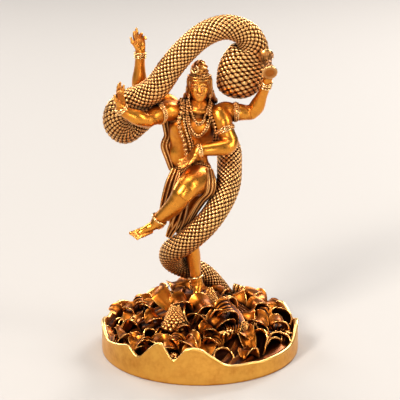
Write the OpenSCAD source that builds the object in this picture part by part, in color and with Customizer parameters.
// Dancing figure with four arms in the coils of a great serpent, on a round base of curling waves.
// Millimetres, +Z up, the origin at the centre of the base's underside, the figure facing -Y.

/* [Base] */
// Diameter of the base drum
base_d = 116; // [112:1:120]
// Thickness of the wall that stands above the deck
wall_t = 2.5; // [2:0.5:3.5]
// Height of the deck's top, which carries the waves
deck_z = 9; // [8:0.5:10]
// Thickness of the deck
deck_t = 4; // [3:0.5:5]
// Height of the sea at its middle
sea_top = 33; // [30:1:35]
// Height of the sea at the wall
sea_edge = 9.8; // [9.5:0.1:10]
// Height of the sea's swells
sea_swell = 2; // [1:0.5:3]

/* [Figure] */
// Diameter of the rod that holds the standing leg on the base
rod_d = 3; // [2:0.5:4]
// Thickness of the wire in the bangles
bangle_t = 1.2; // [0.8:0.1:1.6]
// Diameter of the hand drum's skins
drum_d = 8.4; // [7:0.2:9]
// Length of the hand drum
drum_l = 16.5; // [14:0.5:18]

/* [Serpent] */
// Thickness of the serpent, as a share of its normal thickness
serpent_k = 1; // [0.9:0.02:1.04]
// Sides of each ring of the serpent's body
serpent_sides = 16; // [12:2:20]

/* [Hidden] */

base_r = base_d / 2;
sea_r = base_r - wall_t;
gold = [0.83, 0.62, 0.25];
old_gold = [0.62, 0.42, 0.16];
dark_gold = [0.36, 0.22, 0.09];

// Heights of the wall's wavy top edge, every 7.5 degrees from the front round to the right.
wall_tops = [
    22, 17, 12, 11, 11, 10.2, 10.4, 10.4, 10.6, 11.4, 15, 18, 18, 15, 13, 16,
    18, 15, 12.5, 15, 18.5, 16, 13, 16, 19, 16, 13, 16, 18.5, 15, 13, 16,
    18, 15, 13.5, 16, 17.5, 17.5, 15, 13.5, 14.5, 16, 17.5, 13, 19.5, 24, 15, 22
];

// ---- Curves ----
function unit(v) = v / norm(v);
function xyz(p) = [p[0], p[1], p[2]];
// A Catmull-Rom curve between b and c.
function curve(a, b, c, d, t) =
    (2 * b + (c - a) * t + (2 * a - 5 * b + 4 * c - d) * t * t + (3 * b - a - 3 * c + d) * t * t * t) / 2;
// A smooth run through the points P, with n steps between neighbours.
function smooth(P, n) = concat(
    [for (i = [0:len(P) - 2], k = [0:n - 1])
        curve(P[max(i - 1, 0)], P[i], P[i + 1], P[min(i + 2, len(P) - 1)], k / n)],
    [P[len(P) - 1]]
);
function headings(P) = [for (i = [0:len(P) - 1]) unit(xyz(P[min(i + 1, len(P) - 1)]) - xyz(P[max(i - 1, 0)]))];
// The side direction u carried from ring to ring without twist.
function sides(T, u, i = 0) =
    i == len(T) ? [] : let (w = unit(u - (u * T[i]) * T[i])) concat([w], sides(T, w, i + 1));
function ring(p, t, u, m) = let (v = cross(t, u), a = p[3], b = is_undef(p[4]) ? p[3] : p[4])
    [for (k = [0:m - 1]) xyz(p) + a * cos(360 * k / m) * u + b * sin(360 * k / m) * v];
// Rings of m points round the smooth run through C. Each point of C is [x, y, z, half-width, half-depth].
function rings(C, n, m, side) = let (P = smooth(C, n), T = headings(P), U = sides(T, side))
    [for (i = [0:len(P) - 1]) ring(P[i], T[i], U[i], m)];
function part_of(R, a, b) = [for (i = [a:b]) R[i]];

// A closed skin over a list of rings.
module skin(R) {
    m = len(R[0]);
    last = (len(R) - 1) * m;
    polyhedron(
        points = [for (r = R) each r],
        faces = concat(
            [[for (k = [0:m - 1]) k]],
            [[for (k = [m - 1:-1:0]) last + k]],
            [for (i = [0:len(R) - 2], k = [0:m - 1])
                let (a = i * m + k, b = i * m + (k + 1) % m)
                each [[a, a + m, b + m], [a, b + m, b]]]
        )
    );
}

// Puts its children at p, with their +Z along z and their +X as near x as it can be.
module place(p, z, x = [1, 0, 0]) {
    w = unit(z);
    u = unit(x - (x * w) * w);
    v = cross(w, u);
    multmatrix([[u[0], v[0], w[0], p[0]], [u[1], v[1], w[1], p[1]], [u[2], v[2], w[2], p[2]], [0, 0, 0, 1]])
        children();
}

// A ring of round wire about the line through p along z.
module bangle(p, z, r, t = bangle_t, x = [1, 0, 0])
    place(p, z, x) rotate_extrude($fn = 48) translate([r + t / 2, 0]) circle(d = t, $fn = 24);

module ball(p, r, f = 12) translate(p) sphere(r = r, $fn = f);
module bar(p, q, r, s, f = 10) hull() {
    ball(p, r, f);
    ball(q, s, f);
}

// ---- Base ----
function wall_top(a) = let (n = len(wall_tops), s = a / 360 * n, i = floor(s))
    curve(wall_tops[(i + n - 1) % n], wall_tops[i % n], wall_tops[(i + 1) % n], wall_tops[(i + 2) % n], s - i);
function round_at(r, a, z) = [r * sin(a), -r * cos(a), z];

module base_drum() color(gold) {
    difference() {
        cylinder(r = base_r, h = deck_z, $fn = 128);
        translate([0, 0, -1]) cylinder(r = base_r - deck_t, h = deck_z - deck_t + 1, $fn = 128);
        translate([0, 0, -1]) cylinder(d = rod_d, h = deck_z + 2, $fn = 32);
    }
    wall();
}

// The part of the wall above the deck, as one ring with a wavy top.
module wall() {
    n = 96;
    low = deck_z - 1;
    outer = base_r - 0.1;
    function corner(k, i) = let (a = 360 * i / n, top = wall_top(a))
        [round_at(outer, a, low), round_at(outer, a, top), round_at(sea_r, a, top - 0.6), round_at(sea_r, a, low)][k];
    polyhedron(
        points = [for (i = [0:n - 1], k = [0:3]) corner(k, i)],
        faces = [for (i = [0:n - 1], k = [0:3])
            let (j = (i + 1) % n, h = (k + 1) % 4, a = 4 * i + k, b = 4 * i + h, c = 4 * j + h, d = 4 * j + k)
            each [[a, b, c], [a, c, d]]]
    );
}

// The sea is a dome with rolling swells, round the hole for the rod.
function sea_z(r, a) = let (t = r / sea_r)
    sea_edge + (sea_top - sea_edge) * (0.5 + 0.5 * cos(180 * t)) + sea_swell * sin(180 * t) * sin(5 * a + 7 * r);
module sea_mound() color(dark_gold) {
    n = 60;
    first = rod_d / 2 + 0.2;
    last = sea_r - 0.1;
    // Each section goes out along the underside and back over the top.
    radii = [first, last, last, last * 0.85, last * 0.7, last * 0.55, last * 0.4, last * 0.25, last * 0.12, first];
    m = len(radii);
    polyhedron(
        points = [for (i = [0:n - 1], k = [0:m - 1]) let (a = 360 * i / n, r = radii[k])
            round_at(r, a, k < 2 ? deck_z : sea_z(r, a))],
        faces = [for (i = [0:n - 1], k = [0:m - 1])
            let (j = (i + 1) % n, h = (k + 1) % m, a = m * i + k, b = m * i + h, c = m * j + h, d = m * j + k)
            each [[a, c, b], [a, d, c]]]
    );
}

// A breaking wave: [distance from the middle, angle, foot height, size, half-width, heading, curl].
// The heading is the way it breaks, 0 to the right and 90 away from the viewer.
crests_f = [
    [9, 350, 28, 13, 8, 200, 210], [30, 352, 16, 14, 9, 170, 230], [45, 355, 11, 10, 8, 180, 210],
    [34, 18, 15, 13, 8, 340, 200], [46, 33, 10, 13, 9, 215, 220], [26, 38, 18, 10, 7, 20, 200],
    [44, 12, 10, 9, 6, 60, 190]
];
crests_l = [
    [45, 325, 12, 12, 8, 30, 220], [49, 300, 12, 10, 7, 320, 230], [47, 278, 13, 13, 7, 180, 170],
    [28, 285, 20, 17, 8, 20, 190], [35, 308, 16, 13, 8, 200, 200], [45, 255, 14, 12, 7, 150, 200],
    [26, 320, 19, 12, 7, 240, 190]
];
crests_r = [
    [48, 56, 11, 12, 7, 160, 210], [46, 78, 12, 14, 9, 190, 220], [34, 62, 16, 12, 7, 30, 200],
    [46, 100, 13, 12, 7, 90, 200], [30, 88, 19, 13, 8, 340, 200], [36, 112, 17, 13, 7, 30, 180]
];
crests_b = [
    [44, 128, 14, 12, 8, 60, 200], [46, 150, 13, 13, 8, 120, 220], [46, 175, 13, 12, 8, 60, 200],
    [46, 200, 13, 13, 8, 110, 210], [45, 228, 13, 12, 7, 150, 210], [28, 160, 20, 13, 8, 80, 200],
    [28, 200, 20, 13, 8, 110, 200], [30, 238, 19, 14, 8, 170, 200]
];
crests_c = [
    [15, 300, 26, 12, 7, 150, 200], [15, 60, 25, 12, 7, 350, 200], [14, 210, 27, 13, 7, 100, 190],
    [16, 130, 25, 12, 7, 60, 200], [17, 20, 23, 10, 7, 280, 190], [20, 262, 24, 13, 7, 170, 170]
];

// The blade's middle line climbs and rolls over, and its width narrows to the tip.
function crest_line(c) = let (s = c[3], d = [cos(c[5]), sin(c[5]), 0], foot = round_at(c[0], c[1], c[2] - 2))
    [for (i = [0:5]) let (t = i / 5, a = t * c[6], r = s * 0.5 * (1 - 0.45 * t))
        concat(foot + d * (s * 0.35 - r * cos(a)) + [0, 0, s * 0.45 * min(1, 3 * t) + r * sin(a)],
            [c[4] * (1 - 0.8 * t * t), 1.5 * (1 - 0.6 * t)])];
module crest(c) skin(rings(crest_line(c), 1, 6, [-sin(c[5]), cos(c[5]), 0]));
module crests(list) color(old_gold) for (c = list) crest(c);

// Ribbed shells lie on the sea: [distance, angle, height, size, tilt].
shells = [[38, 22, 20, 6, 30], [24, 12, 25, 5, 60], [32, 135, 25, 6, 20], [34, 225, 25, 6, -30]];
module shell(s) translate(round_at(s[0], s[1], s[2])) rotate([s[4], 0, s[1]]) scale(s[3] / 6)
    skin(rings([[0, 0, -4, 1.2, 1], [0, 0, -1, 2.8, 1.5], [0, 0, 2, 4, 1.7], [0, 0, 4.5, 3.6, 1.2]], 2, 12, [1, 0, 0]));
module ribbed_shells() color(old_gold) for (s = shells) shell(s);

// Cones covered in scales: [distance, angle, height, radius].
cones = [[27, 328, 22, 7], [9, 42, 31, 4.5], [36, 45, 14, 6], [34, 190, 16, 7]];
module cone_solids() for (s = cones) translate(round_at(s[0], s[1], s[2])) {
    cylinder(r1 = s[3], r2 = s[3] * 0.35, h = s[3] * 1.5, $fn = 14);
    for (k = [0:3]) rotate(k * 90) bar([s[3] * 0.8, 0, 1], [s[3] * 0.4, 0, s[3]], 1, 0.8, 6);
}
module scaled_cones() color(old_gold) difference() {
    cone_solids();
    right_leg_skin();
    foot_solid(right_foot_at, right_foot_dir, right_foot_up);
    cylinder(d = rod_d + 0.4, h = 60, $fn = 16);
}

// A threaded rod holds the standing leg down, with its nut and washer in the hollow below the deck.
module fixing_rod() color("silver") translate([0, 0, 1]) cylinder(d = rod_d, h = 35, $fn = 32);
module fixing_nut() color("silver") difference() {
    union() {
        translate([0, 0, deck_z - deck_t - 0.6]) cylinder(d = 9, h = 0.6, $fn = 48);
        translate([0, 0, deck_z - deck_t - 3]) cylinder(d = 6.4, h = 2.4, $fn = 6);
    }
    cylinder(d = rod_d, h = 20, $fn = 32);
}

// ---- Serpent ----
// The middle line from tail to snout: [x, y, z, half-depth, half-width].
serpent_line = [
    [20, 26, 16, 3, 3], [16, 23, 24, 4, 4], [9, 20, 33, 5, 5], [1, 16, 41, 5.8, 5.8], [-8, 10, 46, 6.3, 6.3],
    [-16, 1, 54, 6.6, 6.6], [-16, -9, 63, 6.7, 6.7], [-8, -16, 71, 6.8, 6.8], [3, -18, 82, 6.8, 6.8],
    [11, -13, 92, 6.8, 6.8], [16, -4, 101, 6.9, 6.9], [17, 4, 110, 7, 7], [16, 12, 120, 7, 7],
    [8, 17, 129, 7, 7], [-6, 18.5, 136, 7, 7], [-19, 18, 140.5, 7, 7], [-29, 16, 139.5, 7, 7],
    [-35.5, 11.5, 135.1, 7.2, 7.2], [-42.8, 4.5, 131.3, 7.2, 7.2], [-47.5, -2, 137.1, 7.2, 7.2],
    [-46.7, -6, 145.2, 7.2, 7.2], [-40.3, -7.5, 151.4, 7.2, 7.2], [-31.8, -8, 155, 7.2, 7.2],
    [-23.9, -8.5, 160.9, 7.1, 7.1], [-16, -8, 172, 6.9, 6.9], [-7.5, -6.2, 181.6, 6.8, 6.8], [3, -3.8, 189.8, 6.8, 6.8],
    [14.5, -1.2, 193, 6.8, 6.8], [25, 1.8, 189.2, 6.6, 7.4], [29.4, 4.5, 181.3, 6.2, 8.9], [27, 6, 174.3, 5.8, 12.4],
    [24.4, 6.5, 167.5, 5.6, 13.7], [22.4, 7, 161, 5.4, 13.2], [20.6, 9.5, 155.2, 5.2, 11.2], [20.6, 15, 153, 4.4, 7],
    [21, 20, 153.6, 3.2, 4.2], [21.2, 23.5, 154.4, 1.3, 1.8]
];
serpent_step = 2;
serpent_rings = rings([for (p = serpent_line) concat(xyz(p), serpent_k * [p[3], p[4]])], serpent_step, serpent_sides, [0.51, -0.86, -0.09]);
// The castings run between these places of serpent_line.
function serpent_part(i, j) = part_of(serpent_rings, serpent_step * i, serpent_step * j);
tail_rings = serpent_part(0, 4);

module serpent_tail() color(old_gold) skin(tail_rings);
module serpent_lower_coil() color(old_gold) skin(serpent_part(4, 8));
module serpent_rise() color(old_gold) skin(serpent_part(8, 12));
module serpent_back() color(old_gold) skin(serpent_part(12, 17));
module serpent_loop() color(old_gold) skin(serpent_part(17, 22));
module serpent_arch() color(old_gold) skin(serpent_part(22, 28));
module serpent_hood() color(old_gold) skin(serpent_part(28, 32));
module serpent_head() color(old_gold) skin(serpent_part(32, 36));

// ---- Limbs ----
// Each limb is [x, y, z, radius] from its root to its tip, cut into pieces that meet face to face.
limb_m = 10;
right_rear_arm = [
    [-13, 3, 144, 4.4], [-20, 4, 148, 4.4], [-26.5, 5.5, 151, 3.9], [-32, 7, 153, 3.5], [-34.6, 7, 157.5, 3.4],
    [-34.4, 6, 165, 2.7], [-34, 5, 174, 2], [-33.8, 5, 178.5, 1.8]
];
right_front_arm = [
    [-14, -1, 144, 4.6], [-20, -4.5, 145, 4.5], [-25, -10, 144, 3.8], [-29, -15.5, 143, 3.3], [-33, -18.5, 144.4, 3.1],
    [-38, -20.5, 147, 2.7], [-43, -21.5, 150, 2], [-44, -22, 152, 1.9]
];
left_front_arm = [
    [11, -1, 143, 4.8], [12.5, -2.5, 137.5, 4.5], [15, -4, 132, 4], [17.5, -5.5, 127.8, 3.6], [15.6, -8.4, 125.6, 3.6],
    [8.6, -11.4, 125.2, 3.3], [0.6, -13.4, 124.8, 2.5], [-1.2, -13.8, 124.4, 2.3]
];
left_rear_arm = [
    [9, 2, 142, 4.4], [16, 3, 143, 4.3], [23, 4, 142.5, 3.7], [29, 4, 142, 3.3], [32, 3.5, 145, 3.2],
    [34, 2, 150, 2.9], [37, -1.5, 158.5, 2.1], [38, -4, 164, 1.9]
];
left_leg = [
    [0.5, -5.5, 105, 8], [-1, -9.5, 106, 7.8], [-3.4, -15, 106.4, 7], [-6.8, -21, 105.6, 6], [-10, -24, 102, 5.1],
    [-13.4, -22.8, 96.2, 4.5], [-17.8, -20.5, 91, 3.7], [-22.8, -18, 86, 2.8], [-24.5, -17.5, 83.5, 2.6]
];
right_leg = [
    [-6, 1, 98, 8.3], [-7, 0, 92, 7.5], [-8.5, -2, 85, 6.3], [-9, -3.5, 78, 5.2], [-7.5, -2.5, 70, 4.9],
    [-5.2, -1, 62, 4.1], [-3.6, 0, 53, 3], [-2.6, 0, 45, 2.5], [-1.6, -0.5, 40, 2.8]
];
function limb_rings(L) = rings(L, 1, limb_m, [0.1, -0.9, 0.4]);
module limb(L, i, j) skin(part_of(limb_rings(L), i, j));
module right_leg_skin() limb(right_leg, 0, 8);

// A hand grows from the wrist along +Z, its palm facing +Y and its thumb at +X.
// Each finger is [place across the palm, spread, curl, length].
module hand_solid(at, along, thumb, fingers) place(at, along, thumb) {
    hull() {
        ball([0, 0, 0.8], 2, 10);
        ball([2, 0, 6], 1.4, 10);
        ball([-2, 0, 5.6], 1.4, 10);
    }
    for (f = fingers) {
        knuckle = [f[0], 0, 6];
        middle = knuckle + f[3] * 0.5 * [sin(f[1]), sin(f[2]) * cos(f[1]), cos(f[2]) * cos(f[1])];
        tip = middle + f[3] * 0.5 * [sin(f[1]), sin(2 * f[2]) * cos(f[1]), cos(2 * f[2]) * cos(f[1])];
        bar(knuckle, middle, 1.05, 0.9, 8);
        bar(middle, tip, 0.9, 0.7, 8);
    }
    bar([1.6, 0.4, 2.4], [4.4, 1, 6], 1.1, 0.9, 8);
    bar([4.4, 1, 6], [5.4, 1.2, 9], 0.9, 0.7, 8);
}
open_hand = [[1.9, 8, 8, 6.4], [0.6, 3, 4, 7.6], [-0.8, -4, 6, 7.2], [-2.1, -12, 10, 5.8]];
blessing_hand = [[1.9, 6, 30, 8], [0.6, 2, 12, 9], [-0.8, -3, 8, 9], [-2.1, -10, 12, 7.5]];
hanging_hand = [[1.9, 4, 6, 8.5], [0.6, 1, 8, 9], [-0.8, -3, 10, 8.5], [-2.1, -8, 14, 7]];
grip_hand = [[1.9, 0, 62, 5.6], [0.6, 0, 64, 6], [-0.8, 0, 64, 5.8], [-2.1, 0, 62, 5.2]];

module right_rear_hand_solid() hand_solid([-33.8, 5, 178.4], [-0.1, 0, 1], [-1, -0.3, 0], open_hand);
module right_front_hand_solid() hand_solid([-44, -22, 152], [-0.12, 0, 1], [-0.5, -0.6, 0], blessing_hand);
module left_front_hand_solid() hand_solid([-1.2, -13.8, 124.4], [-8.5, -1.2, -8], [0, -0.8, -0.5], hanging_hand);
module left_rear_hand_solid() hand_solid([38.8, -3.4, 164.6], [0.3, -0.3, 0.9], [0, 1, 0.4], grip_hand);

// A foot lies from the ankle towards its toes.
foot_k = 1.18;
module foot_solid(at, along, up) place(at, along, up) scale(foot_k) {
    bar([-1.5, 0, -2], [1.5, 0, 1], 2.4, 2.9, 10);
    hull() {
        ball([-2, 0, -1], 2.3, 10);
        ball([-2.6, 1.6, 9], 1.6, 10);
        ball([-2.6, -1.8, 8.4], 1.6, 10);
        ball([0, 0, 2], 2.4, 10);
    }
    for (k = [0:4]) bar([-2.8, 2.2 - k * 1.15, 9.4 - 0.3 * k], [-3, 2.4 - k * 1.2, 13 - 0.6 * k], 1.1 - 0.08 * k, 0.85 - 0.05 * k, 8);
    bar([0.5, 0, -0.5], [-1, 0, 4], 2.6, 2.2, 10);
}
left_foot_at = [-25, -17.8, 82];
left_foot_dir = [-14.5, -5, -4.8];
left_foot_up = [0, -0.76, 0.62];
right_foot_at = [-1, -1, 38];
right_foot_dir = [-0.1, -1, -0.5];
right_foot_up = [0, -0.5, 1];

module right_rear_upper_arm() color(gold) limb(right_rear_arm, 0, 3);
module right_rear_forearm() color(gold) limb(right_rear_arm, 3, 7);
module right_rear_hand() color(gold) difference() {
    right_rear_hand_solid();
    limb(right_rear_arm, 3, 7);
}
module right_front_upper_arm() color(gold) limb(right_front_arm, 0, 3);
module right_front_forearm() color(gold) limb(right_front_arm, 3, 7);
module right_front_hand() color(gold) difference() {
    right_front_hand_solid();
    limb(right_front_arm, 3, 7);
}
module left_front_upper_arm() color(gold) limb(left_front_arm, 0, 3);
module left_front_forearm() color(gold) limb(left_front_arm, 3, 7);
module left_front_hand() color(gold) difference() {
    left_front_hand_solid();
    limb(left_front_arm, 3, 7);
    skin(torso_rings);
}
module left_rear_upper_arm() color(gold) limb(left_rear_arm, 0, 3);
module left_rear_forearm() color(gold) limb(left_rear_arm, 3, 7);
module left_rear_hand() color(gold) difference() {
    left_rear_hand_solid();
    limb(left_rear_arm, 3, 7);
    damru_solid();
    skin(serpent_part(28, 32));
}
module left_thigh() color(gold) limb(left_leg, 0, 4);
module left_shin() color(gold) limb(left_leg, 4, 8);
module left_foot() color(gold) difference() {
    foot_solid(left_foot_at, left_foot_dir, left_foot_up);
    limb(left_leg, 4, 8);
}
module right_thigh() color(gold) limb(right_leg, 0, 4);
module right_shin() color(gold) difference() {
    limb(right_leg, 4, 8);
    cylinder(d = rod_d, h = 60, $fn = 32);
}
module right_foot() color(gold) difference() {
    foot_solid(right_foot_at, right_foot_dir, right_foot_up);
    limb(right_leg, 4, 8);
    cylinder(d = rod_d + 0.2, h = 60, $fn = 16);
}

// ---- Body ----
torso_line = [
    [-3.3, 1, 108, 9.8, 7.5], [-4.5, 1, 112, 9.5, 7], [-6.2, 0.5, 117, 10.2, 6.5], [-6.8, 0, 123, 11.4, 7.2],
    [-5.7, 0, 130, 12.5, 7.8], [-4.7, 0.5, 136, 13.1, 7.6], [-2.8, 1, 140, 11.8, 6.8], [-1.5, 1.5, 143.5, 8, 5.2],
    [-1, 1, 146, 4.4, 4.4]
];
torso_rings = rings(torso_line, 1, 20, [1, 0, 0]);
module torso() color(gold) difference() {
    union() {
        skin(torso_rings);
        // Chest, shoulder slopes, back and belly
        bar([-10, -3, 135], [-6, -3.5, 134], 4.4, 4.4);
        bar([1, -3, 134], [-2, -3.5, 134], 4.4, 4.4);
        bar([-3, 1.5, 145], [-14, 1, 144.5], 3, 3.6);
        bar([1, 1.5, 145], [10, 1, 142], 3, 3.6);
        bar([-13, 1, 138], [-12, 1, 128], 4, 3.2);
        bar([6, 1, 137], [3, 1, 127], 4, 3.2);
        bar([-5.5, -3, 125], [-4, -2.5, 112], 3.9, 4.4);
        bar([-8, 3, 138], [-6, 3.5, 128], 4.4, 3.6);
        bar([2, 3, 138], [-2, 3.5, 128], 4.4, 3.6);
    }
    limb(right_rear_arm, 0, 3);
    limb(right_front_arm, 0, 3);
    limb(left_front_arm, 0, 3);
    limb(left_front_arm, 3, 7);
    limb(left_rear_arm, 0, 3);
    translate([-25, -25, 98]) cube([50, 50, 10]);
    skin(short_rings);
    skin(long_rings);
    garland_solid(bead_line, 1);
    garland_solid(rosette_line, 1.3);
    skin(neck_rings);
}

pelvis_rings = rings([
    [-2, 1, 95, 7, 6], [-2, 1, 99, 10.5, 8], [-2.5, 1, 104, 11, 8.4], [-3, 1, 108, 9.5, 7.5]
], 1, 20, [1, 0, 0]);
module pelvis() color(gold) difference() {
    union() {
        skin(pelvis_rings);
        for (s = [-1, 1]) {
            bar([-2 + 5 * s, 4, 102], [-2 + 4.5 * s, 4.5, 98], 5, 4.4);
            bar([-2 + 6 * s, 0, 104], [-2 + 6.5 * s, 0, 99], 4.4, 4);
            bar([-2 + 3 * s, -2, 104], [-2 + 3 * s, -2, 98], 4.4, 4);
            bar([-2 + 2 * s, 3, 105], [-2 + 5 * s, 2, 105], 3, 3);
        }
    }
    translate([-25, -25, 108]) cube([50, 50, 10]);
    limb(left_leg, 0, 4);
    limb(right_leg, 0, 4);
    skin(serpent_part(8, 12));
}

// ---- Head ----
neck_rings = rings([[-1, 1, 143, 3.8], [-0.8, 0.5, 147, 3.6], [-0.4, 0, 152, 3.5], [-0.3, -0.5, 155, 3.5]], 1, 12, [1, 0, 0]);
head_at = [-0.3, -2.5, 158.5];
// The head's pieces are drawn at a handy size and brought to size about the crown.
head_k = 0.89;
crown_at = [-0.3, -2.5, 168];
module head_size() translate(crown_at) scale(head_k) translate(-crown_at) children();
module head_solid() {
    skin(neck_rings);
    head_size() translate(head_at) {
        hull() {
            ball([0, 1, 2.5], 6.6, 16);
            ball([0, -1, -4], 4.8, 16);
        }
        hull() {
            ball([0, -1, -4], 4.6, 16);
            ball([0, -3.2, -7.4], 2.2, 12);
        }
        bar([0, -5.2, 0.5], [0, -6.6, -2.6], 0.8, 1.1, 8);
        bar([-2.6, -4.8, 1.4], [2.6, -4.8, 1.4], 1, 1, 8);
        bar([-1.2, -5.4, -4.6], [1.2, -5.4, -4.6], 0.7, 0.7, 8);
        for (s = [-1, 1]) {
            bar([5.6 * s, 0.6, -3.4], [6.2 * s, 0.8, 0.6], 0.8, 1.1, 8);
            bar([3.6 * s, -3.6, -2], [4 * s, -2.4, -2.6], 1.2, 1, 8);
        }
    }
}
module head() color(gold) head_solid();

module hair_solid() head_size() translate(head_at) {
    hull() {
        ball([0, 2.2, 4], 7.2, 16);
        ball([0, 3.6, -2], 6.4, 16);
    }
    for (s = [-1, 1]) {
        bar([4.6 * s, -1.6, 6], [6.6 * s, 1.6, 1], 1.6, 1.6);
        bar([6.4 * s, 2.6, 1], [7.2 * s, 4.4, -8], 1.6, 1.6);
        bar([2.4 * s, -3.2, 8], [4.8 * s, -1.2, 6], 1.6, 1.6);
    }
    bar([-2.4, -3.4, 8], [2.4, -3.4, 8], 1.6, 1.6);
    bar([0, 4, -2], [0, 6.4, -10], 6, 4.2, 12);
}
module hair() color(old_gold) difference() {
    hair_solid();
    head_solid();
    skin(torso_rings);
    skin(short_rings);
    skin(long_rings);
}

// Locks that fall behind the shoulders.
lock_lines = [
    [[-5, 5, 152, 1.6], [-8, 7.5, 146, 1.6], [-11, 9, 139, 1.4], [-12, 9.4, 132, 0.8]],
    [[5, 5, 152, 1.6], [7, 7.5, 146, 1.6], [8, 9, 139, 1.4], [8, 9.6, 133, 0.8]],
    [[0, 8.6, 147, 1.8], [-1, 9.8, 141, 1.8], [-2, 9.8, 134, 1]]
];
module hair_locks() color(old_gold) for (l = lock_lines) skin(rings(l, 1, 8, [1, 0, 0]));

module top_knot() color(old_gold) head_size() translate([-0.3, -1.5, 167.5]) {
    cylinder(r = 5, h = 1.8, $fn = 48);
    translate([0, 0, 1.7]) cylinder(r1 = 5, r2 = 4.4, h = 2.6, $fn = 48);
    translate([0, 0, 4.2]) cylinder(r1 = 4.4, r2 = 2, h = 3, $fn = 48);
}
module crescent() color(gold) head_size() place([-3.4, -6.6, 171], [-0.4, -1, 0.1], [1, 0, 0])
    translate([0, 0, -0.6]) linear_extrude(1.4) difference() {
        circle(r = 2.8, $fn = 48);
        translate([0.6, 1.4]) circle(r = 2.1, $fn = 48);
    }
module earrings() color(gold) head_size() for (s = [-1, 1]) bangle(head_at + [6.8 * s, 0, -6.2], [1, 0, 0], 1.2, 0.9, [0, 0, 1]);

// ---- Jewellery ----
function at_limb(L, i) = (xyz(L[i]) + xyz(L[i + 1])) / 2;
function dir_limb(L, i) = xyz(L[i + 1]) - xyz(L[i]);
module limb_bangle(L, i, grow = 0.1, t = bangle_t)
    bangle(at_limb(L, i), dir_limb(L, i), max(L[i][3], L[i + 1][3]) + grow, t);
module armlets() color(gold) {
    limb_bangle(right_rear_arm, 1);
    limb_bangle(right_front_arm, 1);
    limb_bangle(left_front_arm, 1);
    limb_bangle(left_rear_arm, 1);
}
module bracelets() color(gold) {
    limb_bangle(right_rear_arm, 6);
    limb_bangle(right_front_arm, 6);
    limb_bangle(left_front_arm, 6);
    limb_bangle(left_rear_arm, 6);
}
module anklets() color(gold) {
    limb_bangle(left_leg, 7, 0.2, 1.4);
    limb_bangle(right_leg, 7, 0.2, 1.4);
}

// Necklaces and garlands hang round the neck and lie on the chest.
short_rings = rings([
    [-5.5, 3.5, 147, 0.7], [-6.2, -1, 146, 0.7], [-4.6, -5.4, 143, 0.7], [-1.5, -8, 139.6, 0.7], [1.2, -8, 139.8, 0.7],
    [4, -5.6, 143, 0.7], [5, -1, 145.6, 0.7], [4, 3.5, 147, 0.7]
], 2, 8, [0, 0, 1]);
long_rings = rings([
    [-6.4, 4, 147.5, 0.8], [-7.6, -1, 146.6, 0.8], [-6.8, -6.6, 141, 0.8], [-4.4, -9, 135, 0.8], [-0.6, -9.4, 131.6, 0.8],
    [3.2, -8.8, 135, 0.8], [5.2, -6.4, 141, 0.8], [6.4, -1, 145.4, 0.8], [5, 4, 147.5, 0.8]
], 2, 8, [0, 0, 1]);
module short_necklace() color(gold) skin(short_rings);
module long_necklace() color(gold) skin(long_rings);

bead_line = [
    [-9, 2, 148.4], [-9.6, -3, 147], [-9.6, -6.6, 142], [-8.4, -8.6, 136], [-6.6, -9, 130], [-5, -8.4, 124], [-4, -8, 119]
];
rosette_line = [
    [-12, 1, 148.6], [-12.4, -4, 146], [-12.2, -7, 141], [-11, -8.6, 135], [-9.2, -8.8, 129], [-7.8, -8, 123.6]
];
module garland_solid(line, r) skin(rings([for (p = line) concat(p, [r])], 1, 8, [1, 0, 0]));
module bead_garland() color(gold) garland_solid(bead_line, 1);
module rosette_garland() color(gold) garland_solid(rosette_line, 1.3);

// The girdle is open on the side where the serpent passes.
module girdle() color(gold) translate([-3.2, 1, 107.6]) intersection() {
    difference() {
        cylinder(r = 12.4, h = 2.4, $fn = 64);
        translate([0, 0, -1]) cylinder(r = 10.8, h = 5, $fn = 64);
    }
    translate([-13, -13, 0]) cube([20.6, 26, 3]);
}

// ---- Cloth ----
module loincloth() color(old_gold) difference() {
    skin(rings([
        [5.8, -12.5, 111.5, 1.1, 3], [6.2, -15.6, 106, 1.1, 3.2], [5.2, -16, 100.5, 1.1, 3], [1.2, -15.2, 96, 1.1, 2.8],
        [-2.4, -14.4, 90, 0.9, 2.4], [-7.6, -13, 80.5, 0.6, 1.2]
    ], 2, 10, [0.6, -0.8, 0]));
    limb(left_leg, 0, 4);
    limb(right_leg, 0, 4);
    skin(serpent_part(8, 12));
}
module side_sash() color(old_gold) difference() {
    skin(rings([
        [-12.6, -4, 110, 1.3, 4], [-15, -5.6, 103, 1.4, 4.6], [-17, -7, 96, 1.4, 4.6], [-19, -8.2, 89, 1.3, 4],
        [-20.5, -9, 83.5, 0.9, 2.8]
    ], 2, 10, [0, -1, 0]));
    limb(left_leg, 4, 8);
    limb(left_leg, 0, 4);
    foot_solid(left_foot_at, left_foot_dir, left_foot_up);
}
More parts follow.
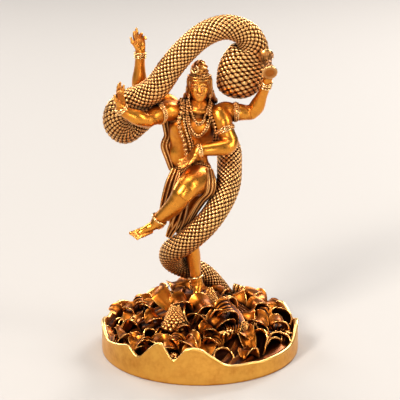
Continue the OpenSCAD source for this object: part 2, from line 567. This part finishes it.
module centre_cloth() color(old_gold) difference() {
    skin(rings([
        [-8.6, -10.6, 94, 1.4, 3], [-11, -11.4, 88, 1.4, 4.2], [-12.4, -12, 82, 1.3, 4.6], [-13.4, -12.4, 77.4, 0.8, 3.2]
    ], 2, 10, [0, -1, 0]));
    limb(left_leg, 0, 4);
    limb(left_leg, 4, 8);
    limb(right_leg, 0, 4);
    skin(serpent_part(4, 8));
}
module flank_ribbon() color(old_gold) skin(rings([
    [-17.8, 2, 143, 0.9, 2.2], [-18.8, 1, 136, 0.9, 2.6], [-18.4, 0, 129, 0.9, 2.4], [-19.4, -0.6, 122, 0.9, 2.6],
    [-17.8, -1, 115, 0.9, 2.4], [-15.6, -1.4, 110, 0.9, 2]
], 2, 8, [0, -1, 0]));

// ---- Hand drum ----
drum_at = [37.8, -12.5, 174.4];
drum_dir = [0.1, -0.9, -0.41];
module damru_solid() place(drum_at, drum_dir) {
    for (s = [0, 1]) mirror([0, 0, s]) cylinder(d1 = drum_d * 0.45, d2 = drum_d, h = drum_l / 2, $fn = 48);
}
module damru_body() color(old_gold) difference() {
    damru_solid();
    damru_skin_solids();
}
module damru_skin_solids() place(drum_at, drum_dir)
    for (s = [0, 1]) mirror([0, 0, s]) translate([0, 0, drum_l / 2 - 0.8]) cylinder(d = drum_d - 1.6, h = 1, $fn = 48);
module damru_skins() color(gold) damru_skin_solids();

base_drum();
sea_mound();
crests(crests_f);  // crests_front
crests(crests_l);  // crests_left
crests(crests_r);  // crests_right
crests(crests_b);  // crests_back
crests(crests_c);  // crests_centre
ribbed_shells();
scaled_cones();
fixing_rod();
fixing_nut();
serpent_tail();
serpent_lower_coil();
serpent_rise();
serpent_back();
serpent_loop();
serpent_arch();
serpent_hood();
serpent_head();
torso();
pelvis();
head();
hair();
hair_locks();
top_knot();
crescent();
earrings();
right_rear_upper_arm();
right_rear_forearm();
right_rear_hand();
right_front_upper_arm();
right_front_forearm();
right_front_hand();
left_front_upper_arm();
left_front_forearm();
left_front_hand();
left_rear_upper_arm();
left_rear_forearm();
left_rear_hand();
left_thigh();
left_shin();
left_foot();
right_thigh();
right_shin();
right_foot();
armlets();
bracelets();
anklets();
short_necklace();
long_necklace();
bead_garland();
rosette_garland();
girdle();
loincloth();
side_sash();
centre_cloth();
flank_ribbon();
damru_body();
damru_skins();
